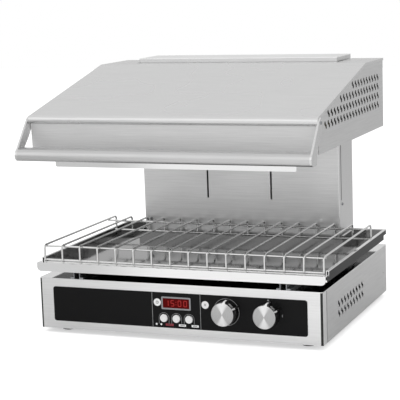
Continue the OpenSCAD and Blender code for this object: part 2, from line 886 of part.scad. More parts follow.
// Plate that rides on the guide rods: front arms, side arms and a top flange for the springs
module lift_carriage() {
  y1 = plate_y + plate_t;
  color(steel_dark) difference() {
    union() {
      box(-plate_x, plate_x, plate_y, y1, arm_z, carriage_top);
      box(-plate_x, plate_x, plate_y, spring_y + 14, carriage_top - plate_t, carriage_top);
      both_sides() {
        box(arm_x - arm_t / 2, arm_x + arm_t / 2, liner_y, plate_y, arm_z, arm_z + arm_h);
        box(plate_x - plate_t, plate_x, side_arm_y - arm_t / 2, plate_y + 1,
          arm_z, arm_z + arm_h);
        box(plate_x - plate_t, liner_x, side_arm_y - arm_t / 2, side_arm_y + arm_t / 2,
          arm_z, arm_z + arm_h);
      }
    }
    both_sides() pin_z(rod_x, rod_y, rod_d / 2 + 3, carriage_top - 10, carriage_top + 1);
  }
}

bush_h = 28;

module guide_bushes() {
  color(brass) both_sides() for (z = [arm_z + 4, carriage_top - plate_t - bush_h]) difference() {
    box(rod_x - 17, rod_x + 17, plate_y + plate_t, rod_y + 15, z, z + bush_h);
    pin_z(rod_x, rod_y, rod_d / 2 + run_gap, z - 1, z + bush_h + 1);
  }
}

// Rod with its piston in the tube and a nut under the carriage flange
module spring_rods() {
  top = carriage_top - plate_t;
  color(steel_light) both_sides() {
    pin_z(spring_x, spring_y, spring_rod_d / 2, tube_top - 26, top);
    pin_z(spring_x, spring_y, tube_d / 2 - 1 - run_gap, tube_top - 26 - piston_h, tube_top - 26);
    at(spring_x, spring_y, top - 6) cylinder(r = 8, h = 6, $fn = 6);
  }
}

// One screw through each end plate of the handle, close to the nose
module hood_screws() color(steel_dark) both_sides()
  screw_x(base_w / 2 + cheek_t, nose_y, nose_z - 2);

// -------------------------------------------------------- tray and rack

// Plan of the tray behind its front rim, drawn e inside its edge and n inside the notch's front
module tray_plan(e, n) {
  x1 = tray_w / 2 - e;
  y0 = tray_y + front_rim - tray_t;
  y1 = tray_y + tray_d - e;
  nx = col_w / 2 + tray_gap + e;
  ny = col_y - tray_gap - n;
  polygon([[-x1, y0], [x1, y0], [x1, y1], [nx, y1], [nx, ny], [-nx, ny], [-nx, y1], [-x1, y1]]);
}

// Pan with edges folded out and down, a low rim before the column,
// and a low flat rim at the front that ends in a deep lip
module drip_tray() {
  x1 = tray_w / 2;
  pan_z = rim_z - pan_depth;
  front_z = rim_z - front_drop;
  y0 = tray_y + front_rim;
  notch_x = col_w / 2 + tray_gap + edge_w;
  notch_y = col_y - tray_gap;
  lip_r = min(10, lip_h / 2);
  color(steel_light) {
    difference() {
      union() {
        at(0, 0, rim_z - edge_h) linear_extrude(edge_h) tray_plan(0, 0);
        at(0, 0, pan_z) linear_extrude(pan_depth) tray_plan(edge_w - tray_t, notch_rim - tray_t);
      }
      at(0, 0, rim_z - edge_h - 1) linear_extrude(edge_h + 1 - tray_t) difference() {
        tray_plan(tray_t, tray_t);
        tray_plan(edge_w - tray_t, notch_rim - tray_t);
      }
      at(0, 0, pan_z + tray_t) linear_extrude(pan_depth) difference() {
        tray_plan(edge_w, notch_rim);
        translate([-x1, 0]) square([2 * x1, y0]);
      }
      box(edge_w - x1, x1 - edge_w, tray_y, y0 + tray_t, front_z, rim_z + 1);
      box(-notch_x, notch_x, notch_y - notch_rim - 1, notch_y, front_z - tray_t, rim_z + 1);
    }
    box(-x1, x1, tray_y, y0, front_z - tray_t, front_z);
    box(-notch_x, notch_x, notch_y - notch_rim, notch_y, front_z - tray_t, front_z);
    deep(tray_y, tray_y + tray_t) translate([0, front_z - lip_h]) {
      translate([-x1, lip_r]) square([2 * x1, lip_h - lip_r]);
      translate([lip_r - x1, 0]) square([2 * x1 - 2 * lip_r, lip_h]);
      for (x = [lip_r - x1, x1 - lip_r]) translate([x, lip_r]) circle(lip_r);
    }
  }
}

wire_y0 = tray_y + front_rim - 5;
wire_y1 = col_y - tray_gap - wire_d;
wire_z0 = rim_z - front_drop + stack_gap;
wire_z1 = wire_z0 + rack_h;
wire_r = wire_d / 2;
weld_sink = 0.5;

function wire_x(i) = -rack_w / 2 + i * rack_w / (wire_n - 1);

module cross_wire(y, z) pin_x(y, z, wire_r, -rack_w / 2 - wire_r, rack_w / 2 + wire_r, $fn = 16);

// Flat top of the rack: the straight lengths of the sixteen wires over two cross wires
module rack_grid() {
  color(steel_light) union() {
    for (i = [0 : wire_n - 1]) at(wire_x(i), wire_y0 + wire_bend, wire_z1 - wire_r)
      rotate([-90, 0, 0])
      cylinder(r = wire_r, h = wire_y1 - wire_y0 - 2 * wire_bend, $fn = 16);
    for (y = [wire_y0 + wire_bend + 2, wire_y1 - 38])
      cross_wire(y, wire_z1 - wire_r - wire_d + weld_sink);
  }
}

// End of one wire at depth y: a bend towards side s and the leg below it
module wire_end(x, y, s) {
  zc = wire_z1 - wire_r - wire_bend;
  at(x, y, wire_z0 + wire_r) cylinder(r = wire_r, h = zc - wire_z0 - wire_r, $fn = 16);
  at(x, y + s * wire_bend, zc) rotate([90, 0, -90 * s]) rotate_extrude(angle = 90, $fn = 16)
    translate([wire_bend, 0]) circle(wire_r, $fn = 16);
}

// The bent ends of the wires, front and rear, each row joined by a rail it stands on
module rack_ends() {
  color(steel_light) {
    union() {
      for (i = [0 : wire_n - 1]) wire_end(wire_x(i), wire_y0, 1);
      cross_wire(wire_y0 + wire_d - weld_sink, wire_z0 + wire_r);
    }
    union() {
      for (i = [0 : wire_n - 1]) wire_end(wire_x(i), wire_y1, -1);
      cross_wire(wire_y1 - wire_d + weld_sink, wire_z0 + wire_r);
    }
  }
}

base_floor();
base_front();
base_side_left();
base_side_right();
base_rear();
base_deck();
feet();
control_plate();
display_frame();
display_window();
display_module();
control_board();
board_posts();
button_switches();
button_left();
button_middle();
button_right();
mode_switch();
energy_regulator();
shaft_left();
shaft_right();
knob_left();
knob_right();
terminal_block();
power_relay();
transformer();
cable_gland();
tray_runners();
column_shell();
column_rear();
column_cap();
guide_rods();
rod_mounts();
spring_tubes();
spring_brackets();
column_screws();
hood_top();
hood_side_left();
hood_side_right();
hood_front();
hood_pan();
hood_liner();
hood_rear();
heater_box();
ceramic_glass();
quartz_tubes();
tube_holders();
reflector();
insulation();
handle_bar();
handle_cheeks();
lift_carriage();
guide_bushes();
spring_rods();
hood_screws();
drip_tray();
rack_grid();
rack_ends();
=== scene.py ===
import json
import math

import bpy
from mathutils import Matrix, Vector


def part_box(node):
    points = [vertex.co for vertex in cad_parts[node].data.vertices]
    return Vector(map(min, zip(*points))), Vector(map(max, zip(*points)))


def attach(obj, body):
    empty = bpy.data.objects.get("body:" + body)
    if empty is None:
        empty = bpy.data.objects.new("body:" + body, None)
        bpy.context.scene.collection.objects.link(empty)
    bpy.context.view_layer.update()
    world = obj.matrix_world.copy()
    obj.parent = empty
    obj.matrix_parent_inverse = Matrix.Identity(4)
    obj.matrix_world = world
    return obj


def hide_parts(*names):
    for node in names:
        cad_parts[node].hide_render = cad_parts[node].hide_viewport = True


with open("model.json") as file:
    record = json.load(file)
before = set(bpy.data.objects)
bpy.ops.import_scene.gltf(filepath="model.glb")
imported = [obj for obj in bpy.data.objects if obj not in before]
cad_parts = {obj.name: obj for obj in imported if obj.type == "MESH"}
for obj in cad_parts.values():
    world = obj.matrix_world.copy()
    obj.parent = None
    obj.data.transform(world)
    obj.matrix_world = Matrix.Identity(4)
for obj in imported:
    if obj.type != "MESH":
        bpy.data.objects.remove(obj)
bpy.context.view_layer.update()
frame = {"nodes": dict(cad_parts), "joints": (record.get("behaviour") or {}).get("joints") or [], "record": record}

bl_info = {
    "name": "Lift grill looks",
    "version": (1, 0, 0),
    "blender": (4, 5, 0),
    "location": "3D View > Sidebar > Grill",
    "description": "Finishes, printed panel and studio for a lift salamander grill",
    "category": "Object",
}

MM = 0.001
FULL_TURN = 2 * math.pi
WHITE = (1, 1, 1, 1)


def corners(node):
    """Lowest and highest corner of a CAD node, in metres."""
    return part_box(node)


def middle(node):
    """Middle of a CAD node's box."""
    low, high = corners(node)
    return (low + high) / 2


PLATE_LOW, PLATE_HIGH = corners("control_plate")
PLATE_FACE = PLATE_LOW.y
PLATE_MIDDLE = (PLATE_LOW.z + PLATE_HIGH.z) / 2
BASE_LOW, BASE_HIGH = corners("base_front")
TRAY_LOW, TRAY_HIGH = corners("drip_tray")
JOINTS = {j["name"]: j for j in frame["joints"]}


# --------------------------------------------------------------- settings

def length(name, description, default):
    """A length in metres."""
    return bpy.props.FloatProperty(name=name, description=description, default=default,
                                   subtype="DISTANCE", unit="LENGTH", precision=5)


def tint(name, description, default):
    """A colour kept as sRGB hex text."""
    return bpy.props.StringProperty(name=name, description=description, default=default)


def amount(name, description, default, low=0.0, high=10.0):
    """A plain number between two limits."""
    return bpy.props.FloatProperty(name=name, description=description, default=default,
                                   min=low, max=high)


class GrillPrint(bpy.types.PropertyGroup):
    """Sizes of what is printed on or let into the black control plate."""
    ink: length("Ink thickness", "How far a printed mark stands proud", 0.08 * MM)
    divider_x: length("Divider distance", "Distance of each upright line from the middle", 51 * MM)
    divider_w: length("Divider width", "Width of an upright line", 0.9 * MM)
    divider_gap: length("Divider gap", "How much shorter than the plate an upright line is", 1 * MM)
    ring_r: length("Ring radius", "Radius of the thin ring round the left knob", 26.5 * MM)
    ring_w: length("Ring width", "Width of the thin ring", 0.8 * MM)
    dot_up: length("Power dot height", "Height of the dot above the right knob's axis", 28 * MM)
    dot_r: length("Power dot radius", "Radius of the dot above the right knob", 1.6 * MM)
    tick_x: length("Tick distance", "Distance of the tick to the right of the knob's axis", 29 * MM)
    tick_w: length("Tick width", "Width of the tick beside the right knob", 1.3 * MM)
    tick_h: length("Tick height", "Height of the tick beside the right knob", 5 * MM)
    mark_shift: length("Mark shift", "How far the dot sits to the right and the tick down", 1 * MM)
    badge_r: length("Badge radius", "Radius of the two white pictogram discs", 7.6 * MM)
    badge_left: length("Left badge", "Distance of the left disc from the middle", -40 * MM)
    badge_right: length("Right badge", "Distance of the right disc from the middle", 61.3 * MM)
    badge_up: length("Badge height", "Height of the discs above the middle of the plate", 15.2 * MM)
    picture_w: length("Pictogram line", "Width of the lines of the pictograms", 0.7 * MM)
    clock_r: length("Clock radius", "Radius of the clock on the left disc", 2.6 * MM)
    hand_w: length("Hand width", "Width of the clock's hands", 0.6 * MM)
    hand_up: length("Upright hand", "Length of the clock's upright hand", 2 * MM)
    hand_right: length("Level hand", "Length of the clock's level hand", 1.6 * MM)
    heat_w: length("Heat line", "Length of the middle line on the right disc", 4.6 * MM)
    heat_step: length("Heat line step", "Distance between the lines on the right disc", 1.7 * MM)
    arch_r: length("Arch radius", "Radius of the outline over each button", 10.6 * MM)
    arch_w: length("Arch width", "Width of the outline over each button", 0.7 * MM)
    arch_leg: length("Arch leg", "How far the outline runs down beside a button", 12 * MM)
    label_down: length("Label depth", "Depth of the labels below the middle of the plate", 29 * MM)
    label_x: length("Label distance", "Distance of the first white label from the middle", 12 * MM)
    label_step: length("Label step", "Distance from one label to the next", 27 * MM)
    label_w: length("Label width", "Width of a small label", 15 * MM)
    label_h: length("Label height", "Height of a small label", 4.4 * MM)
    label_corner: length("Label corner", "Size of a label's rounded corners", 0.4 * MM)
    red_w: length("Red label width", "Width of the red label, left of the white ones", 17 * MM)
    spot_x: length("White dots", "Distance of the pair of white dots from the middle", -38 * MM)
    spot_step: length("White dot step", "Distance between the two white dots", 10 * MM)
    spot_r: length("White dot radius", "Radius of a white dot", 2.1 * MM)
    digit_h: length("Digit height", "Height of a display digit", 12.5 * MM)
    digit_w: length("Digit width", "Width of a display digit", 7.4 * MM)
    digit_near: length("Inner digits", "Distance of the two inner digits from the middle", 7.5 * MM)
    digit_far: length("Outer digits", "Distance of the two outer digits from the middle", 19.5 * MM)
    digit_deep: length("Digit thickness", "How far the digits stand proud of the window", 0.1 * MM)
    stroke: length("Digit stroke", "Width of a lit segment", 1.4 * MM)
    colon_up: length("Colon height", "Distance of the colon's dots from the middle", 2.6 * MM)
    colon_r: length("Colon radius", "Radius of the colon's dots", 0.9 * MM)


class GrillFinish(bpy.types.PropertyGroup):
    """Colours and surface of the finishes."""
    satin: tint("Satin steel", "Colour of the brushed sheet", "#dcdcdc")
    satin_rough: amount("Satin roughness", "Roughness of the brushed sheet", 0.34, 0, 1)
    bright: tint("Bright steel", "Colour of the finely brushed sheet", "#dedede")
    bright_rough: amount("Bright roughness", "Roughness of the finely brushed sheet", 0.26, 0, 1)
    mirror: tint("Mirror steel", "Colour of the mirror-polished sheet", "#f0f0f0")
    mirror_rough: amount("Mirror roughness", "Roughness of the mirror-polished sheet", 0.07, 0, 1)
    # Painted dark reflection low in the tray's pan, and painted shade under its folded edges
    pan: tint("Pan painted reflection", "Colour of the mirror-polished sheet low in the tray", "#8c8c8c")
    painted_shade_under_folds: tint("Painted shade under folds", "Colour of the tray's outside under its folded edges", "#1c1c1d")
    # Painted reflection: the thin dark line in the fascia's bent corners
    bend: tint("Painted bend reflection", "Colour of the line in the fascia's bent corners", "#3c3c3c")
    wire: tint("Wire", "Colour of the drawn rack wire", "#e6e6e6")
    wire_rough: amount("Wire roughness", "Roughness of the drawn rack wire", 0.16, 0, 1)
    grain: length("Grain spacing", "Distance between the brush lines that are drawn", 2.2 * MM)
    cloud: length("Cloud size", "Size of the slightly duller patches of brushed sheet", 143 * MM)
    wave: length("Wave size", "Size of the waves in mirror-polished sheet", 120 * MM)
    knob_edge: length("Knob edge", "Width of the knobs' softened edges", 0.6 * MM)
    knob_rings: length("Knob rings", "Distance between the turned rings that are drawn", 1.4 * MM)
    plate: tint("Plate black", "Colour of the control plate's film", "#0b0b0c")
    ink_light: tint("Light ink", "Colour of the thin printed lines", "#9b9c9d")
    ink_white: tint("White ink", "Colour of badges, buttons and labels", "#fbfbfb")
    ink_red: tint("Red ink", "Colour of the red label", "#8e2a35")
    window: tint("Display red", "Colour of the display window", "#520304")
    digits: tint("Digit red", "Colour of the lit segments", "#a8100a")


class GrillStudio(bpy.types.PropertyGroup):
    """Light, floor and camera."""
    floor: tint("Floor", "Colour of the floor", "#e9e9e9")
    # Painted reflection: the floor is painted darker where reflections see it
    floor_painted_darker_in_reflections: tint("Floor painted darker in reflections", "Colour of the floor as reflections see it", "#dadada")
    sky: amount("Sky", "Strength of the even light from all around", 0.78)
    backdrop: amount("Backdrop", "Brightness of the background", 1.0)
    lift: amount("Floor lift", "How much brighter the camera sees the floor", 0.55)
    front: amount("Front wall", "How much brighter reflections see the front than the back", 0.4)
    pool: amount("Pool", "Brightness of the pool of light that reflections see", 0.32)
    key: amount("Key light", "Power of the large lamp overhead in watts", 15.0, 0, 500)
    sheen: amount("Sheen light", "Power of the overhead lamp that metal mirrors", 11.0, 0, 500)
    side: amount("Side light", "Power of the lamp at the right in watts", 7.0, 0, 500)
    camera_x: length("Camera right", "Camera's distance to the right of the middle", 1.05783)
    camera_y: length("Camera back", "Camera's distance in front of the base", 2.49748)
    camera_z: length("Camera up", "Camera's height above the base's underside", 0.71103)
    yaw: bpy.props.FloatProperty(name="Yaw", description="Turn of the camera to the left",
                                 default=0.38093, subtype="ANGLE")
    pitch: bpy.props.FloatProperty(name="Pitch", description="Tilt of the camera, up is positive",
                                   default=-0.16124, subtype="ANGLE")
    roll: bpy.props.FloatProperty(name="Roll", description="Roll of the camera",
                                  default=-0.03363, subtype="ANGLE")
    lens: amount("Lens", "Focal length in millimetres on a 36 mm sensor", 127.55, 20, 300)


# -------------------------------------------------------------- materials

# Sockets of a Mix node that blends colours: how much of the second, the two colours, the result
SHARE, FIRST, SECOND, BLEND = 0, 6, 7, 2

# How the brush lines run: they are drawn some thirty times as long as they are apart
ACROSS = (0.03, 1.0, 1.0)
FRONT_TO_BACK = (1.0, 0.03, 1.0)

# The painted reflection in the fascia's bent corner begins and ends this far from the base's side
BEND_REFLECTION_INNER = 5.4 * MM
BEND_REFLECTION_OUTER = 0.9 * MM

# The tray's pan, with its painted dark reflection and the painted shade outside it, begins this far in from its
# sides, behind its front and below its rim
TRAY_SIDE = 4.8 * MM
TRAY_LIP = 24 * MM
TRAY_RIM = 1.5 * MM

# The direction across the lines of sight that the front mirrors. The pool's left edge follows
# such a line, so it shows upright in the front.
POOL_ACROSS = (0.92, -0.39, 0)


def linear(code):
    """Linear RGBA of an sRGB hex colour."""
    parts = [int(code[i:i + 2], 16) / 255 for i in (1, 3, 5)]
    return [c / 12.92 if c <= 0.04045 else ((c + 0.055) / 1.055) ** 2.4 for c in parts] + [1.0]


def add_node(tree, kind, settings=None, sockets=None, links=None, feeds=None):
    """Adds a node with its settings and the constant values of its sockets.

    Links map an input to the (node, output) that it reads. Feeds map an output to the
    (node, input) that it drives.
    """
    made = tree.nodes.new(kind)
    for key, value in (settings or {}).items():
        setattr(made, key, value)
    for key, value in (sockets or {}).items():
        made.inputs[key].default_value = value
    for key, (source, output) in (links or {}).items():
        tree.links.new(source.outputs[output], made.inputs[key])
    for key, (reader, socket) in (feeds or {}).items():
        tree.links.new(made.outputs[key], reader.inputs[socket])
    return made


def new_material(name, **surface):
    """An empty node material with one Principled shader, and that shader."""
    made = bpy.data.materials.new(name)
    made.use_nodes = True
    shader = made.node_tree.nodes["Principled BSDF"]
    for key, value in surface.items():
        shader.inputs[key.replace("_", " ")].default_value = value
    return made, shader


def brushed_steel(name, colour, dark, rough, run, depth):
    """Stainless sheet, brushed along the axis in which run is small.

    The eye gets a soft, wide highlight drawn out across fine parallel lines. Real lines are
    0.1 to 0.3 mm apart, too fine to show, so they are drawn at the finish's grain spacing.
    """
    f = bpy.context.scene.grill_finish
    made, shader = new_material(name, Metallic=1.0)
    tree = made.node_tree
    place = add_node(tree, "ShaderNodeTexCoord")
    drawn = add_node(tree, "ShaderNodeMapping", sockets={"Scale": [r / f.grain for r in run]},
                     links={"Vector": (place, "Object")})
    lines = add_node(tree, "ShaderNodeTexNoise",
                     sockets={"Scale": 1.0, "Detail": 3.0, "Roughness": 0.6},
                     links={"Vector": (drawn, "Vector")})
    streak = add_node(tree, "ShaderNodeMapRange", sockets={"From Min": 0.3, "From Max": 0.7},
                      links={"Value": (lines, "Fac")})
    add_node(tree, "ShaderNodeMix", {"data_type": "RGBA"},
             {FIRST: linear(dark), SECOND: linear(colour)}, {SHARE: (streak, "Result")},
             {BLEND: (shader, "Base Color")})
    cloud = add_node(tree, "ShaderNodeTexNoise", sockets={"Scale": 1 / f.cloud, "Detail": 1.0},
                     links={"Vector": (place, "Object")})
    add_node(tree, "ShaderNodeMapRange",
             sockets={"From Min": 0.35, "From Max": 0.65,
                      "To Min": rough - 0.03, "To Max": rough + 0.03},
             links={"Value": (cloud, "Fac")}, feeds={"Result": (shader, "Roughness")})
    add_node(tree, "ShaderNodeBump", sockets={"Strength": depth, "Distance": 0.2 * MM},
             links={"Height": (lines, "Fac")}, feeds={"Normal": (shader, "Normal")})
    return made


def steel_with_painted_bend_reflection(name, colour, dark, rough, run, depth):
    """The fascia's brushed sheet, with a thin dark painted reflection in its bent corners."""
    f = bpy.context.scene.grill_finish
    made = brushed_steel(name, colour, dark, rough, run, depth)
    tree = made.node_tree
    shader = tree.nodes["Principled BSDF"]
    sheet = shader.inputs["Base Color"].links[0].from_node
    place = add_node(tree, "ShaderNodeTexCoord")
    parts = add_node(tree, "ShaderNodeSeparateXYZ", links={"Vector": (place, "Object")})
    far = add_node(tree, "ShaderNodeMath", {"operation": "ABSOLUTE"}, links={0: (parts, "X")})
    # Painted reflection: a thin dark band where the fascia bends round to the side
    bend = add_node(tree, "ShaderNodeMath", {"operation": "COMPARE"},
                    {1: BASE_HIGH.x - (BEND_REFLECTION_INNER + BEND_REFLECTION_OUTER) / 2,
                     2: (BEND_REFLECTION_INNER - BEND_REFLECTION_OUTER) / 2}, {0: (far, "Value")})
    add_node(tree, "ShaderNodeMix", {"data_type": "RGBA"}, {SECOND: linear(f.bend)},
             {SHARE: (bend, "Value"), FIRST: (sheet, BLEND)}, {BLEND: (shader, "Base Color")})
    return made


def mirror_steel(name):
    """Mirror-polished stainless: sharp reflections, bent a little by the waves of a thin sheet."""
    f = bpy.context.scene.grill_finish
    made, shader = new_material(name, Base_Color=linear(f.mirror), Metallic=1.0)
    tree = made.node_tree
    place = add_node(tree, "ShaderNodeTexCoord")
    waves = add_node(tree, "ShaderNodeTexNoise", sockets={"Scale": 1 / f.wave, "Detail": 1.0},
                     links={"Vector": (place, "Object")})
    add_node(tree, "ShaderNodeMapRange",
             sockets={"From Min": 0.3, "From Max": 0.7,
                      "To Min": f.mirror_rough * 0.8, "To Max": f.mirror_rough * 1.3},
             links={"Value": (waves, "Fac")}, feeds={"Result": (shader, "Roughness")})
    add_node(tree, "ShaderNodeBump", sockets={"Strength": 0.12, "Distance": 0.4 * MM},
             links={"Height": (waves, "Fac")}, feeds={"Normal": (shader, "Normal")})
    return made


def tray_steel(name):
    """The tray's mirror-polished sheet: painted greyer low in the pan as painted dark reflection, and painted
    black outside it as painted shade.

    The outside is all that lies beyond the folded edges or looks down, below the rim.
    """
    f = bpy.context.scene.grill_finish
    made = mirror_steel(name)
    tree = made.node_tree
    shader = tree.nodes["Principled BSDF"]
    # The painted shade outside the pan mirrors next to nothing, so that it stays black
    shader.inputs["Specular IOR Level"].default_value = 0.05
    place = add_node(tree, "ShaderNodeTexCoord")
    parts = add_node(tree, "ShaderNodeSeparateXYZ", links={"Vector": (place, "Object")})
    far = add_node(tree, "ShaderNodeMath", {"operation": "ABSOLUTE"}, links={0: (parts, "X")})
    beyond = add_node(tree, "ShaderNodeMath", {"operation": "GREATER_THAN"},
                      {1: TRAY_HIGH.x - TRAY_SIDE}, {0: (far, "Value")})
    behind = add_node(tree, "ShaderNodeMath", {"operation": "GREATER_THAN"},
                      {1: TRAY_LOW.y + TRAY_LIP}, {0: (parts, "Y")})
    deep = add_node(tree, "ShaderNodeMath", {"operation": "LESS_THAN"},
                    {1: TRAY_HIGH.z - TRAY_RIM}, {0: (parts, "Z")})
    low = add_node(tree, "ShaderNodeMath", {"operation": "MULTIPLY"},
                   links={0: (behind, "Value"), 1: (deep, "Value")})
    facing = add_node(tree, "ShaderNodeNewGeometry")
    turned = add_node(tree, "ShaderNodeSeparateXYZ", links={"Vector": (facing, "Normal")})
    down = add_node(tree, "ShaderNodeMath", {"operation": "LESS_THAN"}, {1: -0.7},
                    {0: (turned, "Z")})
    either = add_node(tree, "ShaderNodeMath", {"operation": "MAXIMUM"},
                      links={0: (beyond, "Value"), 1: (down, "Value")})
    # Painted shade: the outside beyond the folded edges or looking down, below the rim, is black and not metallic
    under = add_node(tree, "ShaderNodeMath", {"operation": "MULTIPLY"},
                     links={0: (either, "Value"), 1: (low, "Value")})
    add_node(tree, "ShaderNodeMath", {"operation": "SUBTRACT"}, {0: 1.0}, {1: (under, "Value")},
             {"Value": (shader, "Metallic")})
    # Painted grey for the dark reflection in the pan, then painted black for the shade under the folds
    inside = add_node(tree, "ShaderNodeMix", {"data_type": "RGBA"},
                      {FIRST: linear(f.mirror), SECOND: linear(f.pan)}, {SHARE: (low, "Value")})
    add_node(tree, "ShaderNodeMix", {"data_type": "RGBA"}, {SECOND: linear(f.painted_shade_under_folds)},
             {SHARE: (under, "Value"), FIRST: (inside, BLEND)}, {BLEND: (shader, "Base Color")})
    return made


def turned_aluminium(name, colour, dark, rough, centre):
    """Aluminium cap turned on a lathe: fine rings about the knob's axis.

    The rings spread the light into an upright fan, which is drawn in as a paler wedge that
    begins at a steepness of 0.78, where 1 is upright. Real rings are about 0.1 mm apart, too
    fine to show, so they are drawn at the finish's spacing.
    """
    f = bpy.context.scene.grill_finish
    made, shader = new_material(name, Metallic=1.0, Anisotropic=0.75)
    tree = made.node_tree
    add_node(tree, "ShaderNodeTangent", {"direction_type": "RADIAL", "axis": "Y"},
             feeds={"Tangent": (shader, "Tangent")})
    place = add_node(tree, "ShaderNodeTexCoord")
    moved = add_node(tree, "ShaderNodeMapping", sockets={"Location": [-c for c in centre]},
                     links={"Vector": (place, "Object")})
    parts = add_node(tree, "ShaderNodeSeparateXYZ", links={"Vector": (moved, "Vector")})
    flat = add_node(tree, "ShaderNodeCombineXYZ", links={"X": (parts, "X"), "Z": (parts, "Z")})
    far = add_node(tree, "ShaderNodeVectorMath", {"operation": "LENGTH"},
                   links={"Vector": (flat, "Vector")})
    rings = add_node(tree, "ShaderNodeTexNoise", {"noise_dimensions": "1D"},
                     {"Scale": 1 / f.knob_rings, "Detail": 2.0}, {"W": (far, "Value")})
    tone = add_node(tree, "ShaderNodeMix", {"data_type": "RGBA"},
                    {FIRST: linear(dark), SECOND: linear(colour)}, {SHARE: (rings, "Fac")})
    around = add_node(tree, "ShaderNodeVectorMath", {"operation": "NORMALIZE"},
                      links={"Vector": (flat, "Vector")})
    upright = add_node(tree, "ShaderNodeSeparateXYZ", links={"Vector": (around, "Vector")})
    steep = add_node(tree, "ShaderNodeMath", {"operation": "ABSOLUTE"}, links={0: (upright, "Z")})
    fan = add_node(tree, "ShaderNodeMapRange", {"interpolation_type": "SMOOTHSTEP"},
                   {"From Min": 0.78, "From Max": 1.0, "To Min": 0.0, "To Max": 0.7},
                   {"Value": (steep, "Value")})
    add_node(tree, "ShaderNodeMix", {"data_type": "RGBA"}, {SECOND: WHITE},
             {SHARE: (fan, "Result"), FIRST: (tone, BLEND)}, {BLEND: (shader, "Base Color")})
    add_node(tree, "ShaderNodeMapRange",
             sockets={"From Min": 0.3, "From Max": 0.7,
                      "To Min": rough - 0.04, "To Max": rough + 0.05},
             links={"Value": (rings, "Fac")}, feeds={"Result": (shader, "Roughness")})
    return made


def speckled(name, colour, dark, rough, grain, metallic=0.0, bump=0.15, **surface):
    """A moulded, cast, plated or drawn surface with an even grain.

    Most real grain is under 0.1 mm, too fine to show, so it is drawn at the given coarser size.
    """
    made, shader = new_material(name, Metallic=metallic, **surface)
    tree = made.node_tree
    place = add_node(tree, "ShaderNodeTexCoord")
    spots = add_node(tree, "ShaderNodeTexNoise", sockets={"Scale": 1 / grain, "Detail": 2.0},
                     links={"Vector": (place, "Object")})
    add_node(tree, "ShaderNodeMix", {"data_type": "RGBA"},
             {FIRST: linear(dark), SECOND: linear(colour)}, {SHARE: (spots, "Fac")},
             {BLEND: (shader, "Base Color")})
    add_node(tree, "ShaderNodeMapRange",
             sockets={"From Min": 0.3, "From Max": 0.7,
                      "To Min": rough * 0.9, "To Max": rough * 1.1},
             links={"Value": (spots, "Fac")}, feeds={"Result": (shader, "Roughness")})
    add_node(tree, "ShaderNodeBump", sockets={"Strength": bump, "Distance": 0.1 * MM},
             links={"Height": (spots, "Fac")}, feeds={"Normal": (shader, "Normal")})
    return made


def plain(name, colour, rough, **surface):
    """A smooth surface of one colour."""
    made, _ = new_material(name, Base_Color=linear(colour), Roughness=rough, **surface)
    return made


def studio_paper(s):
    """Matt white paper. The camera sees it lifted to white, with the shadow kept.

    Reflections see it painted darker, with a pool of light on it in front of the grill, from the middle to the
    right.
    """
    made, shader = new_material("Matt white paper", Roughness=0.9, Specular_IOR_Level=0.1,
                                Emission_Color=WHITE)
    tree = made.node_tree
    rays = add_node(tree, "ShaderNodeLightPath")
    # Painted reflection: reflections see the floor a shade darker than the camera does
    add_node(tree, "ShaderNodeMix", {"data_type": "RGBA"},
             {FIRST: linear(s.floor), SECOND: linear(s.floor_painted_darker_in_reflections)},
             {SHARE: (rays, "Is Glossy Ray")}, {BLEND: (shader, "Base Color")})
    place = add_node(tree, "ShaderNodeTexCoord")
    parts = add_node(tree, "ShaderNodeSeparateXYZ", links={"Vector": (place, "Object")})
    across = add_node(tree, "ShaderNodeVectorMath", {"operation": "DOT_PRODUCT"},
                      {1: POOL_ACROSS}, {0: (place, "Object")})
    right = add_node(tree, "ShaderNodeMapRange", {"interpolation_type": "SMOOTHSTEP"},
                     {"From Min": -0.16, "From Max": 0.08, "To Max": s.pool},
                     {"Value": (across, "Value")})
    front = add_node(tree, "ShaderNodeMapRange", {"interpolation_type": "SMOOTHSTEP"},
                     {"From Min": -0.12, "From Max": -0.42}, {"Value": (parts, "Y")})
    pool = add_node(tree, "ShaderNodeMath", {"operation": "MULTIPLY"},
                    links={0: (right, "Result"), 1: (front, "Result")})
    mirrored = add_node(tree, "ShaderNodeMath", {"operation": "MULTIPLY"},
                        links={0: (pool, "Value"), 1: (rays, "Is Glossy Ray")})
    add_node(tree, "ShaderNodeMath", {"operation": "MULTIPLY_ADD"}, {1: s.lift},
             {0: (rays, "Is Camera Ray"), 2: (mirrored, "Value")},
             {"Value": (shader, "Emission Strength")})
    return made


